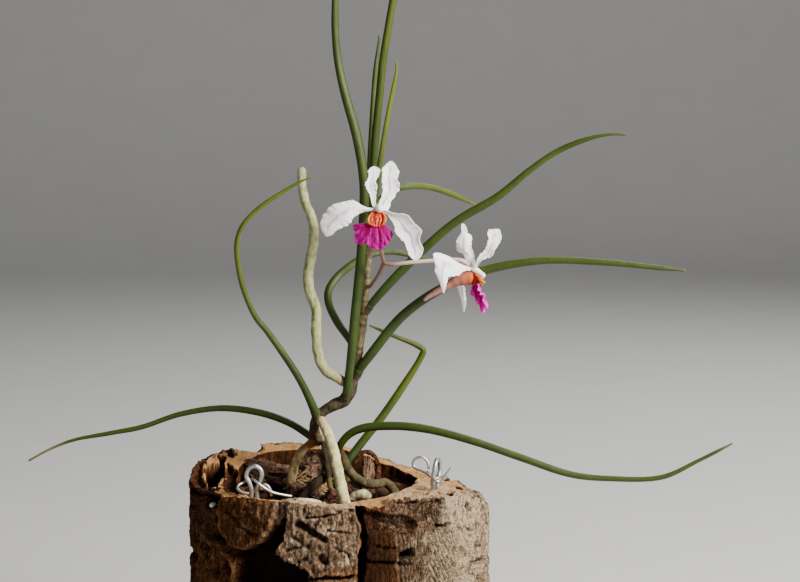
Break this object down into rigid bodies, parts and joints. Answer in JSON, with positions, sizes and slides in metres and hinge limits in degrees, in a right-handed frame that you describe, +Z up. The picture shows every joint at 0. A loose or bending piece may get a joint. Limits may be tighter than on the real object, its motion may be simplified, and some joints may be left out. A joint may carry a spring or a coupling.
{
  "type": "potted holcoglossum orchid",
  "caption": "Orchid with slender round leaves, thick pale roots and small white and magenta flowers, growing in a rough cork bark tube with wire eyes in its rim.",
  "frame": {"origin": "middle of the tube's flat bottom, on the surface that it stands on", "axes": "+Z up along the tube, +X to the right and +Y to the back, seen from the side that the open flower faces"},
  "size_m": [0.3547, 0.1505, 0.3832],
  "materials": {
    "cork": "rough grey-brown cork bark with tan sawn edges",
    "planting_mix": "loose dark bark mix",
    "bark_chunk": "purple-brown pine bark",
    "bead": "chalky white",
    "stem": "dry brown and grey-green sheaths",
    "leaf": "satin olive green",
    "shoot": "pale yellow-green",
    "root": "matt silvery white with a green tinge",
    "stalk": "brown turning to pink",
    "sepal": "soft white with a faint lilac middle",
    "lip": "velvety magenta",
    "side_lobe": "orange with red-brown stripes",
    "column": "waxy pinkish white",
    "spur": "pale salmon pink",
    "wire": "galvanised, dull grey"
  },
  "bodies": {
    "root": {"cork_tube": "cork", "base_plug": "cork", "bark_mix": "planting_mix", "chunk_rear_left": "bark_chunk", "chunk_centre": "bark_chunk", "chunk_standing": "bark_chunk", "chunk_front": "bark_chunk", "chunk_red": "bark_chunk", "chunk_tan": "bark_chunk", "chunk_right": "bark_chunk", "bead": "bead", "stem": "stem", "side_shoot": "shoot", "leaf_low_left": "leaf", "leaf_tall_left": "leaf", "leaf_front": "leaf", "leaf_mid_right": "leaf", "leaf_upper_right": "leaf", "leaf_centre": "leaf", "leaf_back_left": "leaf", "leaf_back_upper": "leaf", "leaf_right_bent": "leaf", "leaf_low_right": "leaf", "leaf_young": "leaf", "leaf_rear": "leaf", "root_aerial": "root", "root_front": "root", "root_right": "root", "root_left": "root", "root_lower": "root", "root_rim": "root", "root_stub": "root", "root_strand": "root", "flower_stalk": "stalk", "column_front": "column", "side_lobes_front": "side_lobe", "lip_front": "lip", "spur_front": "spur", "sepal_lateral_left_front": "sepal", "sepal_lateral_right_front": "sepal", "petal_left_front": "sepal", "petal_right_front": "sepal", "sepal_dorsal_front": "sepal", "column_side": "column", "side_lobes_side": "side_lobe", "lip_side": "lip", "spur_side": "spur", "sepal_lateral_near_side": "sepal", "sepal_lateral_far_side": "sepal", "petal_near_side": "sepal", "petal_far_side": "sepal", "sepal_dorsal_side": "sepal", "wire_eye_left": "wire", "wire_tie_left": "wire", "wire_eye_right": "wire", "wire_tie_right": "wire"}
  },
  "joints": []
}
